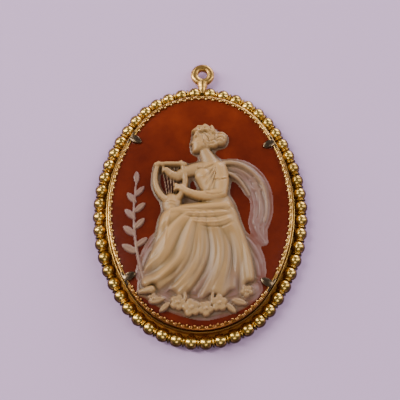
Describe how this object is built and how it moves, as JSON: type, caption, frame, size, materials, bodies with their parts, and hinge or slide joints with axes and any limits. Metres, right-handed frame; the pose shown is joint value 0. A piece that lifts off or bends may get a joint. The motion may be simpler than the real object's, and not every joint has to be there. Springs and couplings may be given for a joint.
{
  "type": "cameo pendant",
  "caption": "Oval cameo pendant with a cream relief on a red-brown ground, in a gilt brass cup with a beaded border, claws and a hanging eye.",
  "frame": {"origin": "under the middle of the whole pendant's outline, on the plane of its flat back", "axes": "+Z out of the cameo's face, +Y towards the hanging eye, +X to the right as the face is seen"},
  "size_m": [0.036, 0.0506, 0.006],
  "materials": {
    "gilt_brass": "polished, worn gilding",
    "red_ground": "polished",
    "cream_relief": "satin"
  },
  "bodies": {
    "root": {"frame": "gilt_brass", "cameo_ground": "red_ground", "cameo_relief": "cream_relief"}
  },
  "joints": []
}
